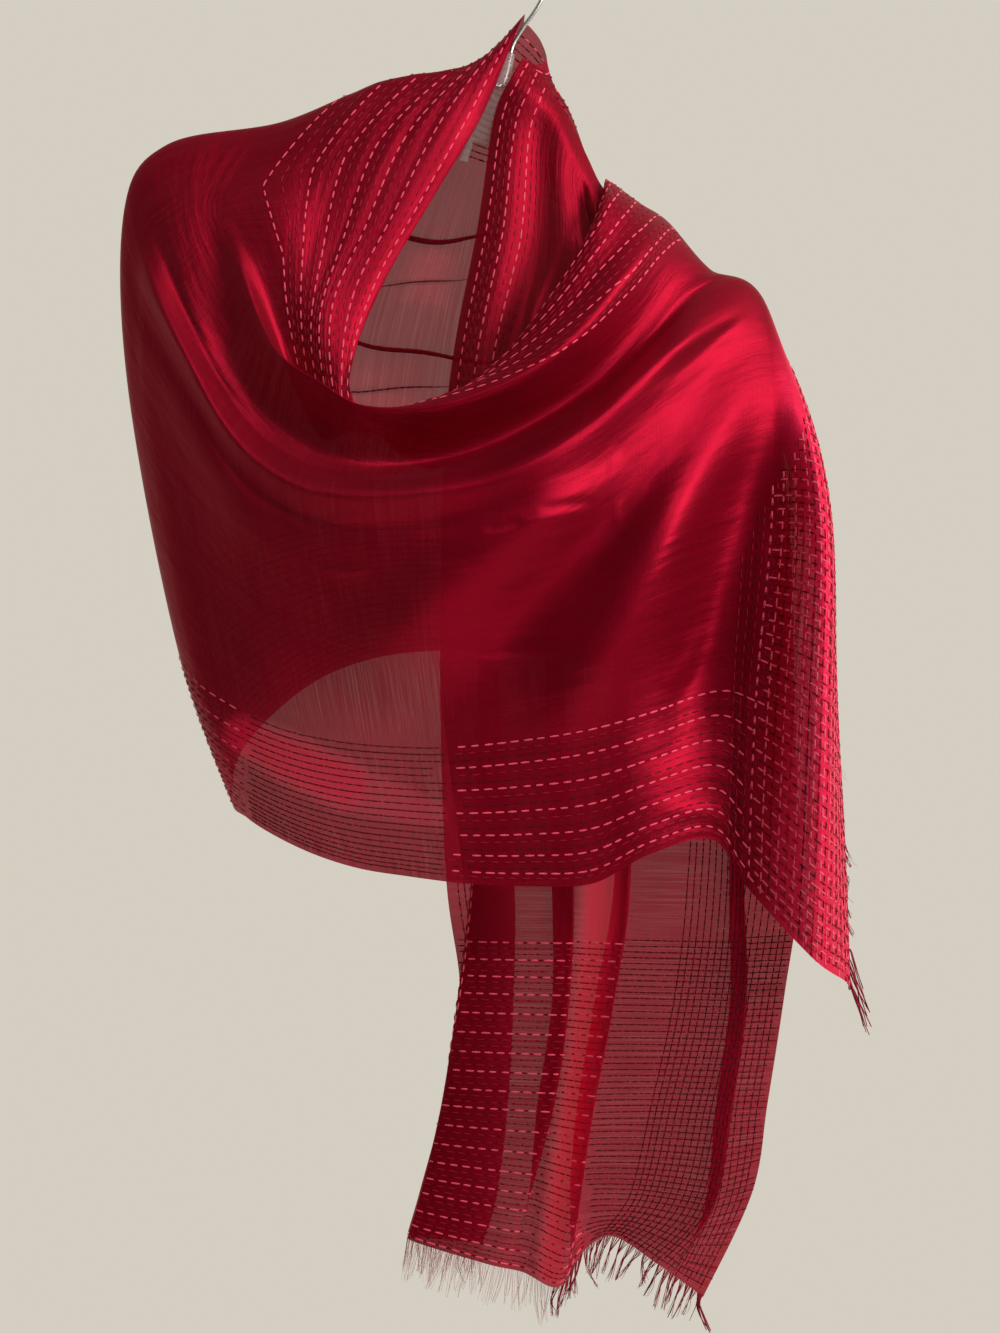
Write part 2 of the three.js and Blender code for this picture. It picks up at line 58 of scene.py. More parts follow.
# Sections across the first end, in millimetres, from its neck edge to its outer edge: neck, turn, fold,
# pleat, back of the pleat, ridge, back of the ridge, side, valley, back of the valley, outer.
FALL = {
    "right arm": [(3, -0.55, -67), (14, -0.55, -78), (26, -0.55, -94), (37, -0.55, -112),
        (49, -0.55, -138), (61, -0.55, -161), (82, -0.55, -179), (104, -0.55, -195),
        (130, -0.55, -222), (158, -0.55, -247), (180, -0.55, -290)],
    "over the arm": [(-5, -9, -82), (8, -12, -94), (21, -9, -107), (34, -10, -128), (47, -8, -153),
        (60, -10, -176), (80, -9, -192), (103, -10, -209), (131, -10, -237), (160, -10, -265),
        (183, -6, -312)],
    "under the arm": [(-18, -10, -112), (-2, -15, -122), (15, -10, -134), (30, -14, -150),
        (44, -11, -168), (58, -14, -190), (78, -11, -206), (103, -13, -224), (132, -13, -252),
        (162, -12, -284), (186, -8, -335)],
    "upper chest": [(-29, -18, -188), (-10, -24, -196), (12, -17, -204), (32, -22, -214),
        (50, -17, -226), (70, -21, -240), (90, -17, -254), (114, -20, -270), (142, -20, -292),
        (167, -17, -320), (190, -10, -375)],
    "behind the cowl": [(-51, -26, -320), (-28, -34, -322), (-6, -26, -326), (18, -30, -330),
        (42, -22, -334), (68, -29, -338), (92, -21, -344), (120, -27, -352), (148, -27, -364),
        (172, -20, -390), (194, -10, -440)],
    "over the back hem": [(-56, -13, -500), (-18, -11, -502), (-24, -27, -504), (28, -34, -506),
        (23, -20, -508), (72, -38, -510), (67, -20, -512), (112, -25, -514), (152, -30, -516),
        (158, -17, -522), (196, -8, -545)],
    "at the front hem": [(-52, -9, -650), (-4, -5, -650), (-33, -20, -650), (36, -32, -650),
        (24, -18, -650), (76, -38, -650), (68, -17, -650), (112, -24, -650), (156, -31, -650),
        (150, -16, -650), (200, -6, -650)],
    "below the front hem": [(-42, -9, -735), (-4, -5, -735), (-43, -19, -735), (32, -34, -735),
        (24, -20, -735), (65, -42, -735), (55, -17, -735), (106, -22, -735), (158, -29, -735),
        (150, -14, -735), (189, -5, -735)],
    "middle of the end": [(-54, -9, -810), (-8, -5, -812), (-55, -18, -812), (20, -34, -814),
        (13, -20, -814), (50, -44, -815), (42, -18, -814), (94, -20, -812), (148, -27, -812),
        (140, -13, -812), (177, -5, -812)],
    "above the fringe": [(-70, -9, -872), (-16, -5, -878), (-70, -19, -874), (-4, -31, -884),
        (8, -24, -886), (38, -46, -892), (38, -20, -878), (82, -18, -876), (134, -27, -882),
        (132, -14, -884), (166, -5, -876)],
    "first end": [(-79, -9, -903), (-26, -5, -912), (-79, -19, -905), (-24, -30, -920), (2, -26, -927),
        (27, -39, -934), (44, -24, -914), (66, -18, -904), (98, -26, -922), (112, -16, -934),
        (131, -6, -950)],
}


def spline(points, at, axis):
    """Reads a smooth curve through points at the given places, where whole numbers are the points."""
    points = np.moveaxis(points, axis, 0)
    last = len(points) - 1
    whole = np.clip(np.floor(at).astype(int), 0, last - 1)
    f = (at - whole).reshape((-1,) + (1,) * (points.ndim - 1))
    a, b, c, d = (points[np.clip(whole + k, 0, last)] for k in (-1, 0, 1, 2))
    curve = 2 * b + (c - a) * f + (2 * a - 5 * b + 4 * c - d) * f**2 + (3 * b - a - 3 * c + d) * f**3
    return np.moveaxis(0.5 * curve, 0, axis)


def level(values, at):
    """Reads the places between whole numbers by straight lines, for a row or a table of values."""
    whole = np.clip(np.floor(at).astype(int), 0, len(values) - 2)
    f = (at - whole).reshape((-1,) + (1,) * (values.ndim - 1))
    return values[whole] * (1 - f) + values[whole + 1] * f


def ramp(value, start, length):
    """How far values are along a ramp that starts at one place, from 0 to 1."""
    return np.clip((value - start) / length, 0, 1)


def ease(share):
    """Lets a share that runs from 0 to 1 start and end gently."""
    return share * share * (3 - 2 * share)


def between(along, rise, settle):
    """A share that rises gently along the rows and settles again: each as its first row and its length."""
    return ease(ramp(along, *rise)) * ease(1 - ramp(along, *settle))


def distance_along(points):
    """The distance of each point of a line, or of each line of a grid, from the line's first point."""
    steps = np.linalg.norm(np.diff(points, axis=-2), axis=-1)
    return np.concatenate([np.zeros(steps.shape[:-1] + (1,)), np.cumsum(steps, axis=-1)], axis=-1)


def facing_of(grid):
    """The direction square to the cloth at each point of a grid."""
    facing = np.cross(np.gradient(grid, axis=0), np.gradient(grid, axis=1))
    return facing / (np.linalg.norm(facing, axis=2, keepdims=True) + 1e-12)


class Drape:
    """A hung length of cloth: its sections, where they lie on the flat cloth, and the way its right side
    faces."""

    def __init__(self, sections, across, outside):
        self.points = np.array(list(sections.values())) * MM
        self.across = np.array(across) * MM
        step = np.linalg.norm(np.diff(self.points, axis=0), axis=2).mean(axis=1)
        self.along = np.concatenate([[0], np.cumsum(step)])
        self.outside = outside

    def stretch(self, first, last, steps, creases):
        """The points, facing and flat place of a creased stretch between two rows, as tables of so many
        steps along and across it."""
        along = np.linspace(first, last, steps[0] + 1)
        across = np.linspace(0, self.points.shape[1] - 1, steps[1] + 1)
        grid = spline(spline(self.points, across, 1), along, 0)
        for crease in creases:
            grid = crease(grid, along)
        facing = facing_of(grid) * self.outside
        flat = level(np.stack([np.interp(across, range(row.size), row) for row in self.across]), along)
        length = np.repeat(level(self.along, along)[:, None], across.size, axis=1)
        return {"points": grid, "facing": facing, "across": flat, "along": length}


def arc_share(section):
    """Gives each line of a section its share of the cloth's width, by how far it is along the section."""
    arc = distance_along(np.array(section, float))
    return arc / arc[-1] * CLOTH_WIDTH / MM


# Over the arm the first end's border is drawn close, so it lies narrow along the collar. From the first of
# these rows to the second it opens out again.
COLLAR_ACROSS = (0, 32, 60, 112, 172, 224, 284, 346, 414, 484, 550)
DRAWN_CLOSE_ROWS = (3, 5)


def end_across(number, section):
    """The flat place of each line of the first end: drawn close at the collar, by the section lower down."""
    share = np.interp(number, DRAWN_CLOSE_ROWS, (0, 1))
    return (1 - share) * np.array(COLLAR_ACROSS, float) + share * arc_share(section)


# The loose folds that the first end is gathered into, from where it leaves the arm to the front hem, by how
# far across they lie: place, half width, rise in front.
END_FOLDS = (
    (0.09, 0.026, 6.0), (0.16, 0.024, -7.5), (0.22, 0.025, 8.0), (0.29, 0.024, -8.5), (0.355, 0.025, 9.0),
    (0.42, 0.023, -9.0), (0.485, 0.024, 9.5), (0.55, 0.023, -9.5), (0.61, 0.023, 9.5), (0.67, 0.022, -9.5),
    (0.725, 0.021, 9.5), (0.78, 0.021, -9.0), (0.83, 0.019, 8.5), (0.875, 0.018, -7.5), (0.92, 0.017, 6.5),
    (0.96, 0.016, -4.5),
)
# The rows that they lie on. The collar stays plain: how far across it reaches, how much less it does lower
# down and from which row, and how soon the folds begin beside it.
END_FOLD_ROWS = ((1.0, 1.8), (4.6, 1.6))
PLAIN_COLLAR, COLLAR_LESS, COLLAR_LESS_ROWS, BESIDE_COLLAR = 0.34, 0.30, (2.6, 1.4), 0.12


def gather_end(grid, along):
    """Lays the end's loose folds, which start below the arm and run out at the front hem."""
    across = np.linspace(0, 1, grid.shape[1])
    facing = facing_of(grid)
    rise = sum(depth * np.exp(-(((across - place) / half) ** 2)) for place, half, depth in END_FOLDS)
    collar = PLAIN_COLLAR - COLLAR_LESS * ramp(along, *COLLAR_LESS_ROWS)
    share = between(along, *END_FOLD_ROWS)[:, None] * ease(ramp(across, collar[:, None], BESIDE_COLLAR))
    return grid - np.sign(facing[..., 1:2]) * facing * (share * rise)[..., None] * MM


fall = Drape(FALL, [end_across(*row) for row in enumerate(FALL.values())], outside=1)
FIRST_END = len(FALL) - 1


class Value:
    """One socket of a finish. Sums, differences and products of it add their Math nodes."""

    def __init__(self, finish, socket):
        self.finish, self.socket = finish, socket

    def _maths(self, operation, a, b):
        return self.finish.node("ShaderNodeMath", {"operation": operation}, {0: a, 1: b})

    def __add__(self, other):
        return self._maths("ADD", self, other)

    def __radd__(self, other):
        return self._maths("ADD", other, self)

    def __sub__(self, other):
        return self._maths("SUBTRACT", self, other)

    def __rsub__(self, other):
        return self._maths("SUBTRACT", other, self)

    def __mul__(self, other):
        return self._maths("MULTIPLY", self, other)

    def __rmul__(self, other):
        return self._maths("MULTIPLY", other, self)


# Which output of the Texture Coordinate node and of the Attribute node is used.
OBJECT_COORDINATES, FACTOR_OUTPUT = 3, 2


class Finish:
    """A material, built from nodes."""

    def __init__(self, name):
        self.material = bpy.data.materials.new(name)
        self.material.use_nodes = True
        self.tree = self.material.node_tree
        self.tree.nodes.clear()

    def node(self, kind, settings=None, inputs=None, output=0):
        """Adds a node: its settings first, then the values or links of its sockets."""
        made = self.tree.nodes.new(kind)
        for name, value in (settings or {}).items():
            if name == "stops":
                for stop, (place, colour) in zip(made.color_ramp.elements, value):
                    stop.position, stop.color = place, colour
            else:
                setattr(made, name, value)
        for name, value in (inputs or {}).items():
            if isinstance(value, Value):
                self.tree.links.new(value.socket, made.inputs[name])
            else:
                made.inputs[name].default_value = value
        return Value(self, made.outputs[output]) if made.outputs else made

    def blend(self, factor, first, second):
        """Goes from one colour to another by a factor."""
        return self.node("ShaderNodeMix", {"data_type": "RGBA"}, {"Factor": factor, 6: first, 7: second}, 2)

    def mottle(self, scale, detail=2.0):
        """An even noise all through the piece."""
        place = self.node("ShaderNodeTexCoord", {}, {}, OBJECT_COORDINATES)
        return self.node("ShaderNodeTexNoise", {}, {"Vector": place, "Scale": scale, "Detail": detail})

    def painted(self, name):
        """A value that is painted on the mesh."""
        return self.node("ShaderNodeAttribute", {"attribute_name": name}, {}, FACTOR_OUTPUT)

    def bump(self, height, strength, distance):
        return self.node("ShaderNodeBump", {}, {"Strength": strength, "Distance": distance, "Height": height})

    def surface(self, shader):
        self.node("ShaderNodeOutputMaterial", {}, {"Surface": shader})
        return self.material


# The silk's colours: deep and full in the vat's dye, where it is worked over, where its threads lie thin, a
# bright painted glow that stands for light shining through from behind, and what comes through it. In the
# painted glow the share that comes through rises to the last number.
DEEP_DYE, FULL_DYE = np.array([0.225, 0.0006, 0.0100]), np.array([0.31, 0.0010, 0.0165])
WORKED_OVER, THIN_PLACE, PAINTED_GLOW_COLOUR = (0.88, 0.016, 0.080, 1), (0.42, 0.003, 0.030, 1), (0.95, 0.035, 0.12, 1)
THROUGH_LIGHT, SHEEN = (0.86, 0.018, 0.075, 1), (1.0, 0.12, 0.26, 1)
PAINTED_GLOW_THROUGH = 0.80


def silk(name, cover, lit, painted_shade_dim=1.0, gloss=0.72):
    """Thin slubby silk: a deep crimson satin face that lets some light and a little of the view through. In
    the bands of painted glow its colour is painted bright and it lets more through, and a dimming below one
    paints its colour darker, as painted shade.
    """
    f = Finish(name)
    flat = f.node("ShaderNodeUVMap", {"uv_map": "flat"})

    def streaks(along, across, detail):
        """Noise with this many marks a metre along the cloth and across it."""
        scaled = f.node("ShaderNodeVectorMath", {"operation": "MULTIPLY"}, {0: flat, 1: (along, across, 1)})
        return f.node("ShaderNodeTexNoise", {"noise_dimensions": "2D"},
                      {"Vector": scaled, "Scale": 1.0, "Detail": detail, "Roughness": 0.6})

    slubs = streaks(1300, 14, 3)
    warp = streaks(16, 1100, 3)
    patches = streaks(14, 14, 2)
    crush = streaks(60, 190, 3)
    ripple = streaks(11, 60, 2)
    thin_stops = ((0.45, (0, 0, 0, 1)), (0.80, (1, 1, 1, 1)))
    thin = f.node("ShaderNodeValToRGB", {"stops": thin_stops}, {"Fac": slubs})
    worked, painted_glow = f.painted("worked"), f.painted("painted glow")
    # A dimming below one paints the whole colour darker, as painted shade.
    colour = f.blend(patches, (*(DEEP_DYE * painted_shade_dim), 1), (*(FULL_DYE * painted_shade_dim), 1))
    colour = f.blend(worked, colour, WORKED_OVER)
    colour = f.blend(0.30 * thin + 0.20 * warp, colour, THIN_PLACE)
    # Painted glow: the colour is painted bright where light from behind is meant to shine through.
    colour = f.blend(0.8 * painted_glow * painted_glow, colour, PAINTED_GLOW_COLOUR)
    bump = f.bump(0.10 * slubs + 0.13 * warp + 0.8 * patches * crush + 1.5 * ripple, 0.45, 1.6 * MM)
    face = f.node("ShaderNodeBsdfPrincipled", {}, {
        "Base Color": colour, "Roughness": 0.36 + 0.16 * patches + 0.06 * warp,
        "Metallic": gloss - 0.42 * worked, "Alpha": cover - 0.08 * thin - 0.10 * painted_glow,
        "Normal": bump, "Specular IOR Level": 0.12,
        "Sheen Weight": 0.05, "Sheen Roughness": 0.4, "Sheen Tint": SHEEN})
    glow = f.node("ShaderNodeBsdfTranslucent", {}, {"Color": THROUGH_LIGHT, "Normal": bump})
    # In the painted glow the mix also takes more of the light that comes through.
    through = lit + (PAINTED_GLOW_THROUGH - lit) * painted_glow
    return f.surface(f.node("ShaderNodeMixShader", {}, {0: through, 1: face, 2: glow}))


def thread(name, dark, bright):
    """Loosely twisted silk thread, a little uneven in its dye."""
    f = Finish(name)
    uneven = f.mottle(160.0)
    return f.surface(f.node("ShaderNodeBsdfPrincipled", {}, {
        "Base Color": f.blend(uneven, (*dark, 1), (*bright, 1)), "Roughness": 0.50 + 0.1 * uneven,
        "Specular IOR Level": 0.10}))


loose_finish = silk("crimson silk of the first end", cover=0.960, lit=0.24)
bright_thread = thread("bright stitching thread", (0.76, 0.055, 0.105), (0.95, 0.110, 0.185))
dull_thread = thread("dull stitching thread", (0.22, 0.002, 0.010), (0.36, 0.006, 0.026))
# Dark thread also stands, as painted shade, for stitches seen against the light behind the cloth.
dark_thread = thread("dark stitching thread", (0.070, 0.0010, 0.005), (0.120, 0.0030, 0.011))


def mesh_piece(name, vertices, faces, materials):
    """Makes a piece of the stole from its points and faces. It rides with the part."""
    mesh = bpy.data.meshes.new(name)
    mesh.from_pydata(np.asarray(vertices).tolist(), [], np.asarray(faces).tolist())
    for material in materials:
        mesh.materials.append(material)
    mesh.polygons.foreach_set("use_smooth", [True] * len(mesh.polygons))
    piece = bpy.data.objects.new(name, mesh)
    bpy.context.scene.collection.objects.link(piece)
    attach(piece, "root")
    return piece


# Bands of painted glow, as seen from the front: the colour is painted bright and the cloth made more
# see-through, standing for light shining through from behind. Each gives how strong the glow is, then the
# middle line's points with the half width at each. It is full up to half of the half width, and fades out a
# third beyond it.
PAINTED_GLOW_BANDS = (
    (1.0, ((-192, -549, 14), (-156, -566, 19), (-118, -583, 19))),
    (0.6, ((-118, -583, 21), (-84, -595, 17), (-58, -603, 11))),
    (0.26, ((-196, -580, 40), (-130, -595, 86), (-60, -585, 92))),
    (1.0, ((58, -640, 13), (54, -700, 13), (44, -780, 12), (33, -850, 11), (22, -925, 9))),
)


def painted_glow_share(points):
    """How strong the painted glow is at each point, from 0 to 1."""
    x, z = points[:, 0] / MM, points[:, 2] / MM
    most = np.zeros(len(points))
    for strength, band in PAINTED_GLOW_BANDS:
        for (ax, az, half), (bx, bz, next_half) in zip(band, band[1:]):
            dx, dz = bx - ax, bz - az
            t = np.clip(((x - ax) * dx + (z - az) * dz) / (dx**2 + dz**2), 0, 1)
            gap = np.hypot(x - ax - t * dx, z - az - t * dz) / (half + t * (next_half - half))
            most = np.maximum(most, strength * np.clip(1.6 - gap * 1.2, 0, 1))
    return most


def cloth_piece(name, stretch, finish, glow_painted=False, worked=False):
    """The open sheet of one stretch, with its flat place kept for the weave, how far it is worked over, and
    where a glow is painted on.
    """
    rows, columns = stretch["across"].shape
    first = np.arange(rows * columns).reshape(rows, columns)
    faces = np.stack([first[:-1, :-1], first[1:, :-1], first[1:, 1:], first[:-1, 1:]], axis=-1).reshape(-1, 4)
    piece = mesh_piece(name, stretch["points"].reshape(-1, 3), faces, [finish])
    flat = np.stack([stretch["along"], stretch["across"]], axis=-1).reshape(-1, 2)
    layer = piece.data.uv_layers.new(name="flat")
    layer.data.foreach_set("uv", flat[faces.reshape(-1)].reshape(-1))
    glow_layer = piece.data.attributes.new("painted glow", "FLOAT", "POINT")
    glow_layer.data.foreach_set("value", painted_glow_share(stretch["points"].reshape(-1, 3)) * float(glow_painted))
    closeness = piece.data.attributes.new("worked", "FLOAT", "POINT")
    inward = ramp(stretch["along"], stretch["along"][0], WORKED_RAMP).reshape(-1)
    closeness.data.foreach_set("value", ease(inward) * float(worked))
    return piece


# Running stitch: one stitch in sight and one behind in turn, each thinner and lower at its ends. Every third
# or second row is worked in bright thread and the rows between in thread near the cloth's own colour.
STITCH_LENGTH = 5.6 * MM
STITCH_PERIOD = 9.0 * MM
STITCH_GAP = 0.3 * MM
SHORTEST_STITCH = 1.2 * MM
STITCH_HALF_WIDTH = 0.68 * MM * np.array([0.62, 1.0, 0.62])[:, None]
STITCH_RISE = 0.65 * MM * np.array([0.45, 1.0, 0.45])[:, None]
STITCH_BASE = 0.22 * MM
# By how much of a period a row starts late, how far in millimetres a stitch strays along its row, and its
# share of the full length.
LATE_START, STRAY, UNEVEN_LENGTH = (0.0, 0.9), (-0.5, 0.5), (0.82, 1.15)
BRIGHT, DULL, DARK = 0, 1, 2
THICKNESS = (1.0, 0.8, 0.72)

# Where the rows of the border at the neck edge lie, and the kinds of thread that they take in turn.
ROW_SPACING = 5.5 * MM
NECK_BORDER = np.arange(PLAIN_EDGE, BORDER_WIDTH, ROW_SPACING)
NECK_KINDS = (BRIGHT, DULL, DULL)
# The first end's collar: the rows nearer than its turn show along its whole length, the others only past
# this length of it.
COLLAR_TURN = 58 * MM
COLLAR_LENGTH = 330 * MM
OUTER_BORDER = np.arange(CLOTH_WIDTH - 1.25 * BORDER_WIDTH, CLOTH_WIDTH - PLAIN_EDGE / 2, ROW_SPACING)
# How far the last row of an end stays from the fringe.
END_MARGIN = 6 * MM


def row_along(stretch, across):
    """The path of a stitching row at one distance from the neck edge."""
    flat = stretch["across"]
    rows = np.arange(len(flat))
    before = np.clip((flat < across).sum(axis=1) - 1, 0, flat.shape[1] - 2)
    share = (across - flat[rows, before]) / (flat[rows, before + 1] - flat[rows, before])
    share = np.clip(share, 0, 1)[:, None]
    return [stretch[k][rows, before] * (1 - share) + stretch[k][rows, before + 1] * share
            for k in ("points", "facing")]


def row_across(stretch, along):
    """The path of a stitching row at one place along the cloth."""
    place = np.interp(along, stretch["along"][:, 0], np.arange(len(stretch["along"])))
    return [level(stretch[k], np.array([place]))[0] for k in ("points", "facing")]


def running_stitch(path, facing, dice, thick):
    """Stitches along one path, in front and behind in turn: their points, three stations of three each."""
    arc = distance_along(path)
    count = int(arc[-1] / STITCH_PERIOD)
    if count < 1:
        return np.zeros((0, 9, 3))
    start = (np.arange(count) + dice.uniform(*LATE_START)) * STITCH_PERIOD
    start = start + dice.uniform(*STRAY, count) * MM
    length = STITCH_LENGTH * dice.uniform(*UNEVEN_LENGTH, count)
    behind = STITCH_PERIOD - length - 2 * STITCH_GAP
    stitches = []
    for begin, size, side in ((start, length, 1), (start + length + STITCH_GAP, behind, -1)):
        at = begin[:, None] + np.maximum(size, SHORTEST_STITCH)[:, None] * np.array([0.0, 0.5, 1.0])
        at = np.clip(at, 0, arc[-1])
        centre = np.stack([np.interp(at, arc, path[:, k]) for k in range(3)], axis=-1)
        out = np.stack([np.interp(at, arc, facing[:, k]) for k in range(3)], axis=-1) * side
        run = centre[:, 2:] - centre[:, :1]
        run = run / (np.linalg.norm(run, axis=2, keepdims=True) + 1e-9)
        beside = np.cross(np.broadcast_to(run, out.shape), out) * STITCH_HALF_WIDTH * thick
        centre = centre + out * STITCH_BASE
        stitches.append(np.stack([centre - beside, centre + out * STITCH_RISE, centre + beside], axis=2)
                        .reshape(-1, 9, 3))
    return np.concatenate(stitches)


def part_of(path, chosen):
    """A part of a stitching row's path."""
    points, facing = path
    return points[chosen], facing[chosen]


def part_of_stretch(stretch, chosen):
    """Some of the sections of a stretch."""
    return {key: value[chosen] for key, value in stretch.items()}


def collar_rows(stretch):
    """The first end's border rows. Along the collar only the outer ones show, and the far ones take dark
    thread as painted shade, where that border hangs against the light.
    """
    lower = part_of_stretch(stretch, stretch["along"][:, 0] > COLLAR_LENGTH)
    for number, across in enumerate(NECK_BORDER):
        yield row_along(stretch if across < COLLAR_TURN else lower, across), NECK_KINDS[number % 3]
    # The outer border takes dark thread, as painted shade where it hangs against the light.
    for across in OUTER_BORDER:
        yield row_along(lower, across), DARK


def end_rows(stretch, reach, spacing, kinds, lit_share=1.0, shaded_kinds=()):
    """The rows of an end panel that lie parallel to the fringe, with the kinds of thread taken in turn. Past
    the lit share of each row the rest takes the shaded kinds: darker thread as painted shade.
    """
    last = stretch["along"][-1, 0] - END_MARGIN
    for number in range(int(reach / spacing)):
        path = row_across(stretch, last - number * spacing)
        near = int(len(path[0]) * lit_share)
        yield part_of(path, slice(near)), kinds[number % len(kinds)]
        if shaded_kinds:
            yield part_of(path, slice(near, None)), shaded_kinds[number % len(shaded_kinds)]


def stitch_piece(name, rows, seed, thick=1.0):
    """All the stitches of one stretch, as one mesh."""
    dice = np.random.default_rng(seed)
    made, threads = [], []
    for (path, facing), kind in rows:
        stitches = running_stitch(path, facing, dice, thick * THICKNESS[kind])
        made.append(stitches)
        threads += [kind] * len(stitches)
    points = np.concatenate(made)
    corner = np.array([[0, 3, 4, 1], [1, 4, 5, 2], [3, 6, 7, 4], [4, 7, 8, 5]])
    faces = (np.arange(len(points))[:, None, None] * 9 + corner).reshape(-1, 4)
    piece = mesh_piece(name, points.reshape(-1, 3), faces, [bright_thread, dull_thread, dark_thread])
    piece.data.polygons.foreach_set("material_index", np.repeat(np.array(threads), 4).astype(np.int32))
    return piece


end_stretch = fall.stretch(0, FIRST_END, steps=(250, 240), creases=(gather_end,))
# The first end carries bands of painted glow.
hanging_end = cloth_piece("hanging_end_silk", end_stretch, loose_finish, glow_painted=True)
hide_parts("hanging_end")
hanging_end_stitches = stitch_piece("hanging_end_stitches", [
    *collar_rows(end_stretch),
    # Past 0.62 of each row the end panel takes dark thread, as painted shade where it hangs against the
    # light.
    *end_rows(end_stretch, END_PANEL, 4.5 * MM, NECK_KINDS, lit_share=0.62, shaded_kinds=(DARK,)),
], seed=11)


# ---- The fringe of the first end ----
# The last weft threads were drawn out of the end and the loose warp threads left hanging, unknotted. They
# cling together in small clumps and curl at their tips.

FRINGE_BENDS = 7
# How many threads cling together, and in millimetres how far such a clump leans, how far a thread curls, and
# its radius.
CLUMP, PLIED_CLUMP = 3, 7
LEAN, CURL = 3.2, 1.3
THREAD_RADIUS = (0.10, 0.19)
# How unevenly they are spaced, and the shares of the full length that they and the tail have.
UNEVEN_PLACE, UNEVEN_REACH, UNEVEN_TAIL = (-0.4, 0.4), (0.62, 1.0), (0.75, 1.0)
# How much thicker plied threads are, how much more they curl, and how much thicker the tail's are.
PLIED_THICKER, PLIED_CURL, TAIL_THICKER = 2.5, 1.5, 2.4
# How much of a thread's length goes out from the edge, how much down, and how near a clump draws together.
OUT_SHARE, DOWN_SHARE, DRAWN_SHARE = 0.4, 0.6, 0.9


def fringe_piece(name, points, reach, threads, seed, coarse_from, tail_threads, tail_lean):
    """Threads that leave the edge of a stretch, droop and curl, each a three-sided tube. Past one place
    they are plied thicker, and the last few are drawn together into a tail."""
    dice = random.Random(seed)
    vertices, faces, kinds = [], [], []
    edge, heading = points[-1], points[-1] - points[-6]
    arc = distance_along(edge)

    def read(line, place):
        return Vector([np.interp(place, arc, line[:, k]) for k in range(3)])

    for number in range(threads):
        place = arc[-1] * (number + dice.uniform(*UNEVEN_PLACE)) / threads
        plied = number > threads * coarse_from
        if number % (PLIED_CLUMP if plied else CLUMP) == 0:
            gather = place
            clump = Vector((dice.gauss(0, 1), dice.gauss(0, 1), 0)) * LEAN * MM
            length = reach * dice.uniform(*UNEVEN_REACH)
        root, out = read(edge, place), read(heading, place).normalized()
        drawn = read(edge, gather) - root if plied else Vector()
        curl = Vector((dice.gauss(0, 1), dice.gauss(0, 1), dice.gauss(0, 0.5))) * CURL * MM
        radius = dice.uniform(*THREAD_RADIUS) * MM
        if plied:
            radius, curl = radius * PLIED_THICKER, curl * PLIED_CURL
        if number >= threads - tail_threads:
            clump = Vector(tail_lean) * MM * dice.uniform(*UNEVEN_TAIL)
            length, radius = reach / 2, radius * TAIL_THICKER
        first = len(vertices)
        for k in range(FRINGE_BENDS + 1):
            u = k / FRINGE_BENDS
            drop = Vector((0, 0, -1)) * u * length * DOWN_SHARE
            drawing = drawn * DRAWN_SHARE * min(1, 2.5 * u)
            bend = clump * u * u + curl * math.sin(3.0 * u + number) * u + drawing
            centre = root + out * u * length * OUT_SHARE + drop + bend
            thin = radius * (1 - 0.5 * u)
            for corner in range(3):
                turn = 2 * math.pi * corner / 3
                vertices.append(centre + Vector((math.cos(turn) * thin, math.sin(turn) * thin, 0)))
        kinds += [int(plied)] * FRINGE_BENDS * 3
        for k in range(FRINGE_BENDS):
            for corner in range(3):
                a, b = first + 3 * k + corner, first + 3 * k + (corner + 1) % 3
                faces.append((a, b, b + 3, a + 3))
    piece = mesh_piece(name, [tuple(v) for v in vertices], faces, [fringe_thread, plied_thread])
    piece.data.polygons.foreach_set("material_index", kinds)
    return piece


fringe_thread = thread("fringe thread", (0.34, 0.03, 0.05), (0.52, 0.09, 0.12))
plied_thread = thread("plied fringe thread", (0.16, 0.004, 0.016), (0.34, 0.016, 0.040))
hanging_fringe = fringe_piece("hanging_fringe_threads", end_stretch["points"], reach=30 * MM, threads=420,
                              seed=21, coarse_from=0.60, tail_threads=6, tail_lean=(12, 0, -14))
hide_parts("hanging_fringe")


# ---- The back ----
# From the right arm the same cloth crosses the back, with its neck edge caught up at the hook, and goes
# over the left arm. It is a single layer, seen through the neck opening.

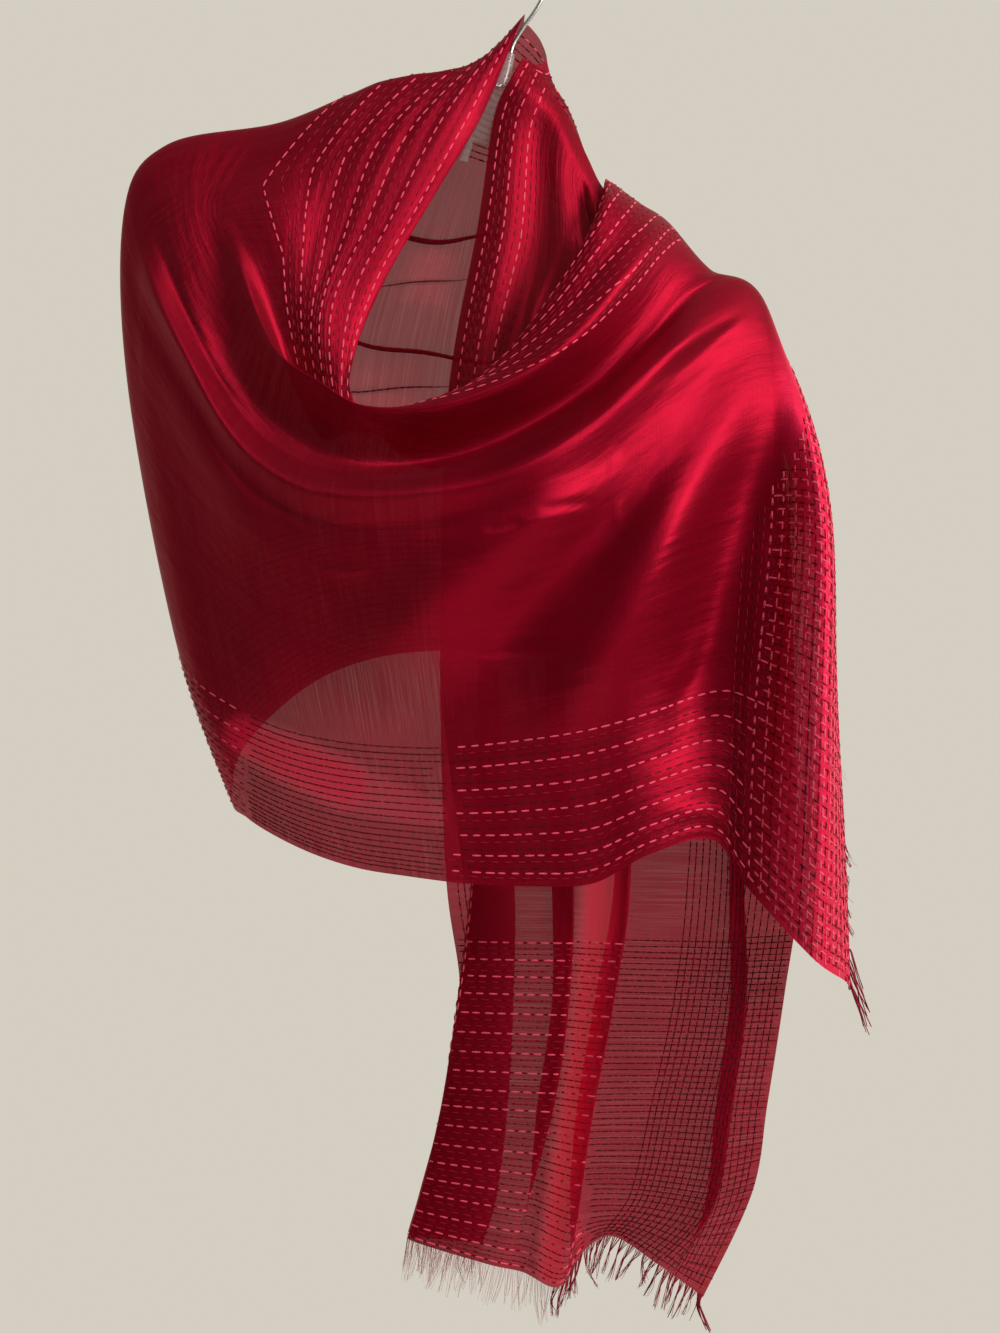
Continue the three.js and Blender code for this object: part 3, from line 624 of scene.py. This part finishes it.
# Sections across the wrap, from its neck edge to its lower edge: neck, rim of the cowl, tuck, crest of the
# first fold, hollow, swag of the second fold, belly, border and hem.
WRAP = {
    "right arm": [(3, 0.55, -67), (33, 0.55, -103), (60, 0.55, -160), (98, 0.55, -190),
        (132, 0.55, -224), (166, 0.55, -256), (184, 4, -330), (194, 6, -460), (197, 8, -585)],
    "back of the right arm": [(13, 6, -70), (35, 8, -101), (53, 12, -153), (84, 16, -212),
        (110, 18, -252), (138, 20, -296), (158, 20, -372), (170, 21, -465), (174, 20, -570)],
    "back, right of the neck": [(20, 9, -66), (29, 16, -108), (36, 23, -165), (44, 34, -220),
        (54, 31, -270), (66, 42, -320), (76, 37, -380), (82, 40, -445), (84, 36, -508)],
    "back of the neck": [(16, 9, -53), (-8, 20, -100), (-20, 26, -155), (-28, 42, -205),
        (-36, 34, -255), (-42, 48, -305), (-46, 38, -365), (-48, 44, -430), (-48, 38, -490)],
    "back, left of the neck": [(9, 7, -44), (-28, 18, -86), (-66, 26, -128), (-96, 36, -172),
        (-118, 32, -218), (-134, 42, -272), (-142, 34, -345), (-142, 38, -430), (-136, 34, -506)],
    "back of the left arm": [(4, 5, -40.5), (-36, 9, -76), (-90, 13, -104), (-146, 16, -138),
        (-194, 19, -176), (-224, 24, -230), (-234, 22, -320), (-222, 23, -450), (-196, 20, -556)],
    "left arm": [(1.5, -1, -40.5), (-36, -1, -73), (-100, -1, -85), (-170, -1, -113), (-250, -2, -129),
        (-279, -4, -176), (-276, -9, -300), (-242, -12, -482), (-203, -15, -596)],
    "left front": [(-26, -17, -110), (-86, -21, -128), (-150, -24, -154), (-206, -26, -172),
        (-240, -30, -190), (-264, -30, -222), (-262, -34, -330), (-228, -38, -505), (-190, -38, -607)],
    "left of the cowl": [(-61, -28, -172), (-115, -36, -200), (-166, -34, -232), (-196, -46, -222),
        (-219, -46, -258), (-235, -56, -278), (-228, -54, -375), (-198, -53, -525), (-168, -53, -619)],
    "cowl, collar foot": [(-93, -41, -230), (-134, -45, -256), (-158, -40, -296), (-168, -66, -284),
        (-182, -60, -322), (-196, -80, -344), (-188, -74, -425), (-165, -64, -540), (-140, -62, -631)],
    "cowl, left of the neck opening": [(-114, -54, -285), (-130, -54, -315), (-138, -50, -343),
        (-134, -84, -310), (-146, -71, -350), (-158, -97, -377), (-148, -84, -445), (-130, -71, -548),
        (-110, -65, -640)],
    "cowl, left of the middle": [(-113, -46, -320), (-114, -54, -338), (-112, -67, -337),
        (-104, -95, -327), (-110, -77, -362), (-117, -106, -388), (-108, -90, -460), (-94, -74, -552),
        (-78, -67, -645)],
    "cowl, middle": [(-62, -42, -364), (-60, -59, -334), (-58, -80, -320), (-55, -100, -328),
        (-60, -72, -360), (-64, -110, -386), (-60, -92, -465), (-50, -74, -553), (-38, -67, -650)],
    "cowl, under the neck opening": [(-6, -48, -322), (-8, -60, -285), (-4, -79, -295), (0, -95, -308),
        (-8, -67, -343), (-12, -106, -374), (-6, -90, -458), (0, -74, -548), (8, -67, -652)],
    "cowl, right of the middle": [(20, -44, -282), (20, -57, -248), (31, -71, -261), (41, -84, -276),
        (47, -58, -308), (46, -94, -342), (46, -87, -442), (48, -73, -540), (50, -67, -650)],
    "cowl, foot of the right shoulder": [(44, -33, -226), (50, -44, -197), (62, -55, -217),
        (73, -64, -236), (87, -46, -266), (93, -70, -298), (96, -78, -412), (92, -68, -528),
        (90, -64, -630)],
    "right shoulder, front": [(56, -23, -184), (61, -28, -170), (78, -34, -188), (92, -40, -206),
        (112, -31, -234), (130, -42, -264), (142, -50, -392), (138, -46, -514), (134, -46, -622)],
    "right shoulder": [(62, -3, -154), (68, -3, -158), (87, -4, -172), (106, -5, -185),
        (134, -6, -218), (170, -10, -243), (176, -44, -378), (164, -50, -520), (158, -50, -655)],
    "right shoulder, outer side": [(70, 16, -171), (76, 17, -176), (96, 20, -190), (115, 21, -204),
        (145, 20, -233), (182, 12, -268), (205, -62, -385), (204, -82, -545), (199, -76, -700)],
    "second end, turned back": [(68, 40, -198), (78, 42, -206), (102, 46, -220), (124, 48, -234),
        (154, 45, -258), (193, 30, -306), (214, -24, -412), (221, -42, -562), (226, -48, -720)],
    "second end": [(64, 50, -266), (78, 53, -272), (102, 56, -280), (126, 57, -292), (156, 54, -310),
        (192, 42, -344), (213, 15, -432), (229, -6, -594), (232, -26, -730)],
}

# How far each of those lines lies from the neck edge on the flat cloth, in millimetres. The rows of the back
# take it from their sections. The folds of the front draw the border up over the crest, so its rows carry
# their own numbers.
FLAT_ACROSS = (0, 52, 99, 133, 185, 223, 301, 430, 550)
FLAT_ACROSS_FRONT = {
    "left front": (0, 52, 99, 125, 176, 219, 301, 430, 550),
    "left of the cowl": (0, 52, 116, 138, 185, 219, 301, 430, 550),
    "cowl, collar foot": (0, 52, 129, 159, 202, 241, 309, 430, 550),
    "cowl, left of the neck opening": (0, 52, 129, 163, 202, 241, 309, 430, 550),
    "cowl, left of the middle": (0, 43, 103, 142, 193, 232, 309, 430, 550),
    "cowl, middle": (0, 43, 96, 125, 180, 228, 305, 430, 550),
    "cowl, under the neck opening": (0, 43, 93, 119, 172, 219, 301, 430, 550),
    "cowl, right of the middle": (0, 40, 84, 107, 163, 215, 301, 430, 550),
    "cowl, foot of the right shoulder": (0, 36, 76, 96, 159, 211, 301, 430, 550),
    "right shoulder, front": (0, 33, 69, 88, 159, 211, 301, 430, 550),
    "right shoulder": (0, 30, 64, 82, 150, 206, 301, 430, 550),
}
BACK_ROWS = 6

# The fine folds that run along the cloth where it is drawn up to the hook: distance from the neck edge, the
# stretch of rows that each lies on, rise and half width. The silk keeps this part of the rise.
GATHER_SHARE = 0.22
GATHERS = (
    (20, 5.6, 8.2, 1.2, 3.2), (29, 5.2, 9.0, -1.4, 3.0), (38, 5.6, 8.6, 1.4, 3.4), (47, 5.0, 8.0, -1.3, 3.0),
    (57, 5.4, 9.4, 1.8, 3.8), (67, 5.2, 8.4, -1.6, 3.4), (78, 5.6, 9.0, 1.6, 3.8), (90, 5.0, 8.2, -1.8, 4.0),
    (103, 5.6, 8.8, 1.6, 4.4), (118, 5.2, 7.8, -1.6, 4.6), (134, 5.0, 7.4, 1.8, 6.0),
)


def pull_gathers(grid, along):
    """Raises the fine folds that run along the cloth on either side of the hook."""
    width = distance_along(grid) / MM
    rise = np.zeros(grid.shape[:2])
    for place, first, last, depth, half in GATHERS:
        swell = np.sin(np.pi * ramp(along, first, last - first)) ** 0.8
        rise += depth * swell[:, None] * np.exp(-(((width - place) / half) ** 2))
    return grid + facing_of(grid) * rise[..., None] * MM * GATHER_SHARE


# Tucks in the back below the neck, where the cloth laps over itself: distance from the neck edge behind the
# neck, how much that grows from row to row, length of cloth taken up, lap, lift, and the rows it lies
# between. They waver a little from row to row.
BACK_TUCKS = (
    (146, 38, 56, 15, 2.2, 2.2, 5.0), (174, 52, 34, 8, 1.8, 2.6, 4.4), (238, 26, 44, 12, 2.0, 2.0, 5.0),
    (256, 48, 28, 7, 1.5, 2.4, 4.8))
NECK_ROW = 3
WAVER, WAVER_TURN = 1.6, 7.3


def tuck_back(grid, along):
    """Laps the back over itself in shallow tucks that run out to both sides."""
    grid = grid.copy()
    for k in np.flatnonzero(along < BACK_ROWS):
        line = grid[k]
        width = distance_along(line) / MM
        place, lift = width.copy(), np.zeros_like(width)
        for middle, slope, length, lap, height, first, last in BACK_TUCKS:
            u = ramp(along[k], first, last - first)
            share = np.sin(np.pi * u) ** 0.7 if 0 < u < 1 else 0.0
            lean = middle + slope * (along[k] - NECK_ROW) + WAVER * math.sin(WAVER_TURN * along[k] + middle)
            turn = np.clip((width - lean) / length, -0.5, 0.5)
            place -= share * lap * np.sin(2 * np.pi * turn) * np.cos(np.pi * turn) ** 2
            lift += share * height * np.sin(2 * np.pi * turn) * np.cos(np.pi * turn)
        grid[k] = np.stack([np.interp(place, width, line[:, n]) for n in range(3)], axis=1)
        grid[k, :, 1] += lift * MM
    return grid


# Where the rows of the lower border lie from the neck edge, and the kinds of thread that they take in turn.
LOWER_BORDER = np.arange(CLOTH_WIDTH - BORDER_WIDTH, CLOTH_WIDTH - PLAIN_EDGE / 2, ROW_SPACING)
LOWER_KINDS = (BRIGHT, DULL, DARK)


def border_rows(stretch):
    """The rows of both long borders: those at the neck edge and those above the lower edge."""
    for border, kinds in ((NECK_BORDER, NECK_KINDS), (LOWER_BORDER, LOWER_KINDS)):
        for number, across in enumerate(border):
            yield row_along(stretch, across), kinds[number % 3]


wrap = Drape(WRAP, [arc_share(section) if number < BACK_ROWS else FLAT_ACROSS_FRONT.get(row, FLAT_ACROSS)
                    for number, (row, section) in enumerate(WRAP.items())], outside=-1)
ROW = {name: number for number, name in enumerate(WRAP)}
# The back is the same silk with less gloss and its colour painted darker, as painted shade.
single_finish = silk("crimson silk of the back, painted darker", cover=0.91, lit=0.20, painted_shade_dim=0.7, gloss=0.35)
back_stretch = wrap.stretch(0, ROW["left arm"], steps=(170, 200), creases=(pull_gathers, tuck_back))
back = cloth_piece("back_silk", back_stretch, single_finish)
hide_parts("back_stretch")
back_stitches = stitch_piece("back_stitches", border_rows(back_stretch), seed=12)


# ---- The front ----
# Round the left arm the cloth crosses the front as a cowl: its neck edge makes the left collar and hides
# behind the first fold, and its stitched lower border makes the hem. It ends on the right shoulder.

# The diagonal folds that hang from the right shoulder, the dark valley beside them, the pressed crease and
# the small tucks over the belly: start, bend and end as seen from the front, rise and half width.
FRONT_CREASES = (
    ((64, -346), (-30, -436), (-120, -512), 13, 26),
    ((166, -282), (50, -420), (-60, -540), -10, 20),
    ((178, -250), (100, -436), (0, -575), 15, 25),
    ((182, -310), (135, -450), (96, -610), -12, 24),
    ((196, -330), (172, -440), (164, -690), -6, 9),
    ((-262, -250), (-214, -390), (-120, -470), 4, 16),
)
FRONT_TUCKS = (
    ((164, -246), (132, -268), (92, -296), 2.0, 5),
    ((160, -254), (124, -284), (84, -318), -3.0, 6),
    ((63, -345), (62, -372), (66, -414), 0.5, 4),
    ((52, -389), (30, -393), (8, -398), -1.4, 2.4),
    ((50, -396), (24, -402), (-4, -408), 1.2, 2.6),
    ((4, -404), (-10, -409), (-28, -411), -1.0, 2.2),
    ((-92, -400), (-112, -404), (-132, -402), 0.9, 2.4),
    ((-96, -436), (-116, -439), (-138, -436), 0.9, 2.4),
    ((-28, -434), (-48, -437), (-70, -435), 1.0, 2.2),
    ((8, -450), (-4, -453), (-20, -452), -0.9, 2.0),
    ((72, -486), (10, -494), (-72, -490), -1.0, 2.6),
    ((66, -478), (6, -484), (-64, -482), 0.8, 3.2),
    ((150, -610), (120, -596), (92, -604), 1.2, 6),
    ((128, -470), (118, -500), (96, -520), 1.0, 5),
    ((136, -486), (120, -516), (100, -534), -1.0, 5),
    ((-168, -110), (-170, -226), (-134, -340), 11.0, 27),
    ((-216, -140), (-208, -226), (-178, -310), -7.0, 17),
)
# The rows at which the creases come and go, each with the length that this takes, the share of its own length
# over which a crease fades at either end, and the points that it is followed by.
FRONT_ROWS = ((6.6, 1.4), (17.4, 1.2))
CREASE_FADE = 0.3
CREASE_POINTS = 25


def push_front(grid, along):
    """Pushes the front of the wrap out or in along creases, fading before the arm and past the shoulder."""
    x, z = grid[..., 0] / MM, grid[..., 2] / MM
    offset = np.zeros_like(x)
    u = np.linspace(0, 1, CREASE_POINTS)
    for start, bend, end, depth, width in FRONT_CREASES + FRONT_TUCKS:
        px, pz = ((1 - u) ** 2 * a + 2 * u * (1 - u) * b + u**2 * c for a, b, c in zip(start, bend, end))
        gap, place = np.full_like(x, np.inf), np.zeros_like(x)
        for k in range(u.size - 1):
            ax, az = px[k + 1] - px[k], pz[k + 1] - pz[k]
            t = np.clip(((x - px[k]) * ax + (z - pz[k]) * az) / (ax * ax + az * az), 0, 1)
            distance = np.hypot(x - px[k] - t * ax, z - pz[k] - t * az)
            nearer = distance < gap
            gap[nearer] = distance[nearer]
            place[nearer] = (u[k] + t * (u[k + 1] - u[k]))[nearer]
        fade = ease(ramp(np.minimum(place, 1 - place), 0, CREASE_FADE))
        offset += depth * fade * np.exp(-((gap / width) ** 2))
    grid = grid.copy()
    grid[..., 1] -= offset * between(along, *FRONT_ROWS)[:, None] * MM
    return grid


# Where the cowl's crests and hollows lie among the lines of a section: place, half width, rise in front.
LINES = 8
CRESTS = ((5.0, 0.15, 5.5), (4.50, 0.22, -4.5), (3.0, 0.24, 2.2), (5.32, 0.14, -4.0))
CREST_ROWS = ((6.4, 1.6), (15.6, 1.8))
# How far the collar's plain edge is turned back, how wide it is, and the rows that it is turned on.
EDGE_TURN, EDGE_WIDTH = 6.0, 12.0
EDGE_ROWS = ((6.2, 0.8), (11.0, 1.5))


def sharpen_cowl(grid, along):
    """Draws the cowl's crests out and its hollows in, and turns the collar's plain edge back."""
    lines = np.linspace(0, LINES, grid.shape[1])
    rise = sum(height * np.exp(-(((lines - place) / half) ** 2)) for place, half, height in CRESTS)
    grid = grid.copy()
    grid[..., 1] -= between(along, *CREST_ROWS)[:, None] * rise * MM
    width = distance_along(grid) / MM
    turned = ramp(along, *EDGE_ROWS[0]) * (1 - ramp(along, *EDGE_ROWS[1]))
    grid[..., 1] += turned[:, None] * EDGE_TURN * np.exp(-((width / EDGE_WIDTH) ** 2)) * MM
    return grid


# Past the shoulder the throw stands a little off the arm under its own stiffness: row, spread along the rows,
# line, spread among the lines, and how far out.
SHOULDER_SWELL = (18.6, 1.2, 5.3, 1.1, 7.0)


def swell_shoulder(grid, along):
    """Stands the throw's shoulder a little out to the side."""
    row, row_spread, line, line_spread, out = SHOULDER_SWELL
    lines = np.linspace(0, LINES, grid.shape[1])
    grid = grid.copy()
    grid[..., 0] += out * MM * (np.exp(-(((along - row) / row_spread) ** 2))[:, None]
                                * np.exp(-(((lines - line) / line_spread) ** 2)))
    return grid


FRONT_FOLDS = (push_front, sharpen_cowl, pull_gathers, swell_shoulder)

# Between these two places, from left to right, only one layer hangs in front of the light.
LIGHT_FROM, LIGHT_TO = -190 * MM, -50 * MM


def hem_rows(stretch):
    """The left front's rows: dark in the lower border, where one layer alone is seen against the light."""
    for number, across in enumerate(NECK_BORDER):
        yield row_along(stretch, across), NECK_KINDS[number % 3]
    for number, across in enumerate(LOWER_BORDER):
        path = row_along(stretch, across)
        first, last = ((path[0][:, 0] < limit).sum() for limit in (LIGHT_FROM, LIGHT_TO))
        yield part_of(path, slice(first)), NECK_KINDS[number % 3]
        for _ in range(1 + number % 2):
            yield part_of(path, slice(first, last)), DARK
        yield part_of(path, slice(last, None)), LOWER_KINDS[number % 3]


silk_finish = silk("crimson silk", cover=0.984, lit=0.04)
left_stretch = wrap.stretch(ROW["left arm"], ROW["cowl, middle"], steps=(220, 300), creases=FRONT_FOLDS)
# The left of the cowl carries bands of painted glow.
cowl_left = cloth_piece("cowl_left_silk", left_stretch, silk_finish, glow_painted=True)
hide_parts("cowl_left")
left_stitches = stitch_piece("cowl_left_stitches", hem_rows(left_stretch), seed=13)

right_stretch = wrap.stretch(ROW["cowl, middle"], ROW["right shoulder"], steps=(190, 300),
                             creases=FRONT_FOLDS)
cowl_right = cloth_piece("cowl_right_silk", right_stretch, silk_finish)
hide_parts("cowl_right")

# The end panel's rows cross each other this far apart, and a few of them run on over the front.
PANEL_SPACING = 4.2 * MM
PANEL_ON_FRONT = 22 * MM
# The top of the shoulder is plain down to a slanting plane: its height where it crosses the middle, and how
# much it rises to the right and to the back. Behind the shoulder the panel is stitched all over.
PLAIN_TOP, PLAIN_RISE_RIGHT, PLAIN_RISE_BACK = -714, 2.2, 1.32
BEHIND_SHOULDER = 20


def below_shoulder(rows):
    """The parts of rows of stitching that lie below the plain top of the shoulder, or behind it."""
    for path, kind in rows:
        x, y, z = path[0].T / MM
        below = z < PLAIN_RISE_RIGHT * x + PLAIN_RISE_BACK * y + PLAIN_TOP
        yield part_of(path, (y > BEHIND_SHOULDER) | below), kind


right_stitches = stitch_piece("cowl_right_stitches", [
    *border_rows(right_stretch),
    *below_shoulder(end_rows(right_stretch, PANEL_ON_FRONT, PANEL_SPACING, (DULL, DARK)))], seed=14)


# ---- The throw over the right shoulder ----
# The second end goes over the right shoulder and turns back on itself down the right side. Below the top of
# the shoulder it is closely worked with stitching in both directions, and its corner hangs free.

# How far the stitched panel reaches from the fringe.
THROW_PANEL = 136 * MM


def panel_rows(stretch, reach, spacing, kinds):
    """The rows of an end panel that cross the others, from one long edge to the other."""
    panel = part_of_stretch(stretch, stretch["along"][-1, 0] - stretch["along"][:, 0] < reach)
    for number, across in enumerate(np.arange(PLAIN_EDGE, CLOTH_WIDTH - PLAIN_EDGE / 2, spacing)):
        yield row_along(panel, across), kinds[number % len(kinds)]


worked_finish = silk("closely worked crimson silk", cover=1.0, lit=0.12)
throw_stretch = wrap.stretch(ROW["right shoulder"], ROW["second end"], steps=(140, 220), creases=FRONT_FOLDS)
throw = cloth_piece("shoulder_throw_silk", throw_stretch, worked_finish, worked=True)
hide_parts("shoulder_throw")
throw_stitches = stitch_piece("shoulder_throw_stitches", [
    *below_shoulder(panel_rows(throw_stretch, THROW_PANEL, 4.3 * MM, (BRIGHT, DARK, BRIGHT, DULL))),
    *below_shoulder(end_rows(throw_stretch, THROW_PANEL, PANEL_SPACING, (BRIGHT, DULL, BRIGHT, DARK))),
], seed=15, thick=1.15)
thrown_fringe = fringe_piece("thrown_fringe_threads", throw_stretch["points"], reach=20 * MM, threads=300,
                             seed=22, coarse_from=0.80, tail_threads=16, tail_lean=(13, -4, -34))
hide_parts("thrown_fringe")


# Each stretch, the length of the cloth's one width that it takes, and its stitches and fringes. The loop only
# turns the last into a list.
for piece, length, extras in (
        (hanging_end, 775 * MM, [hanging_end_stitches, hanging_fringe]),
        (back, 363 * MM, [back_stitches]),
        (cowl_left, 326 * MM, [left_stitches]),
        (cowl_right, 255 * MM, [right_stitches]),
        (throw, 134 * MM, [throw_stitches, thrown_fringe])):
    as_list(extras)


# ---- The hanger ----
# A clear moulded hanger with a bright wire hook. Only its hook, its neck and a little of its web show
# between the layers of silk. It hangs a little down to the right.


def clear_plastic():
    """Clear polystyrene, very slightly wavy from its mould."""
    f = Finish("clear plastic")
    wave = f.mottle(60.0, detail=1.0)
    return f.surface(f.node("ShaderNodeBsdfPrincipled", {}, {
        "Base Color": (0.93, 0.93, 0.90, 1), "Roughness": 0.06 + 0.05 * wave, "Transmission Weight": 0.85,
        "IOR": 1.5, "Normal": f.bump(wave, 0.15, 1 * MM)}))


def bright_wire():
    """Drawn steel wire with fine marks along it."""
    f = Finish("bright wire")
    return f.surface(f.node("ShaderNodeBsdfPrincipled", {}, {
        "Base Color": (0.62, 0.62, 0.58, 1), "Metallic": 1.0,
        "Roughness": 0.22 + 0.18 * f.mottle(900.0, detail=3.0)}))


plastic, wire = clear_plastic(), bright_wire()
for node, material in (("hanger_body", plastic), ("hanger_boss", plastic), ("hanger_hook", wire)):
    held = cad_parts[node]
    held.data.materials.clear()
    held.data.materials.append(material)


# ---- The studio ----
# A pale floor well below the fringe, light all round that is pale behind the stole and dim in front of it,
# a large soft light from the right front and a small one from above.

FLOOR_HEIGHT = -1.65
FLOOR_HALF = 1.8

f = Finish("pale floor")
floor_paint = f.surface(f.node("ShaderNodeBsdfPrincipled", {}, {
    "Base Color": (0.80, 0.77, 0.70, 1), "Roughness": 0.6 + 0.1 * f.mottle(3.0)}))
floor_mesh = bpy.data.meshes.new("studio_floor")
corners = [(x * FLOOR_HALF, y * FLOOR_HALF, FLOOR_HEIGHT) for x, y in ((-1, -1), (1, -1), (1, 1), (-1, 1))]
floor_mesh.from_pydata(corners, [], [(0, 1, 2, 3)])
floor_mesh.materials.append(floor_paint)
floor = bpy.data.objects.new("studio_floor", floor_mesh)
bpy.context.scene.collection.objects.link(floor)

FRONT_LIGHT, BACK_LIGHT = (0.11, 0.108, 0.104, 1), (0.66, 0.62, 0.54, 1)
world = bpy.data.worlds.new("pale studio")
world.use_nodes = True
tree = world.node_tree
direction = tree.nodes.new("ShaderNodeTexCoord")
parts = tree.nodes.new("ShaderNodeSeparateXYZ")
# From the direction's -1 in front to 1 behind, this makes a share from 0 to 1.
behind = tree.nodes.new("ShaderNodeMath")
behind.operation = "MULTIPLY_ADD"
behind.inputs[1].default_value = behind.inputs[2].default_value = 0.5
shade = tree.nodes.new("ShaderNodeValToRGB")
for stop, place, colour in zip(shade.color_ramp.elements, (0.20, 0.85), (FRONT_LIGHT, BACK_LIGHT)):
    stop.position, stop.color = place, colour
tree.links.new(direction.outputs["Generated"], parts.inputs[0])
tree.links.new(parts.outputs["Y"], behind.inputs[0])
tree.links.new(behind.outputs[0], shade.inputs["Fac"])
tree.links.new(shade.outputs["Color"], tree.nodes["Background"].inputs["Color"])
bpy.context.scene.world = world
bpy.context.scene.view_settings.view_transform = "Standard"

LIGHT_AIM = Vector((0, 0, -0.4))


def soft_light(name, place, size, power, colour):
    """A soft rectangular light, aimed at the belly of the stole."""
    lamp = bpy.data.lights.new(name, "AREA")
    lamp.shape, lamp.size, lamp.size_y = "RECTANGLE", size[0], size[1]
    lamp.energy, lamp.color = power, colour
    light = bpy.data.objects.new(name, lamp)
    light.location = place
    light.rotation_euler = (LIGHT_AIM - Vector(place)).to_track_quat("-Z", "Y").to_euler()
    bpy.context.scene.collection.objects.link(light)


soft_light("window", (2.1, -1.25, 0.55), (1.0, 1.8), 62, (1.0, 0.97, 0.94))
soft_light("ceiling light", (0.7, -1.6, 1.2), (0.6, 0.4), 16, (1.0, 0.98, 0.96))

# The camera stands level with the belly of the stole.
CAMERA_DISTANCE = 1.6
FRAME_HEIGHT = 0.952
CAMERA_PLACE = (-0.0136, -CAMERA_DISTANCE, -0.5016)
SENSOR = 36
camera_data = bpy.data.cameras.new("camera")
camera_data.sensor_width = SENSOR
camera_data.lens = SENSOR * CAMERA_DISTANCE / FRAME_HEIGHT
camera_data.clip_start, camera_data.clip_end = 0.05, 60
camera = bpy.data.objects.new("camera", camera_data)
camera.location = CAMERA_PLACE
camera.rotation_euler = (math.pi / 2, 0, 0)
bpy.context.scene.collection.objects.link(camera)
bpy.context.scene.camera = camera
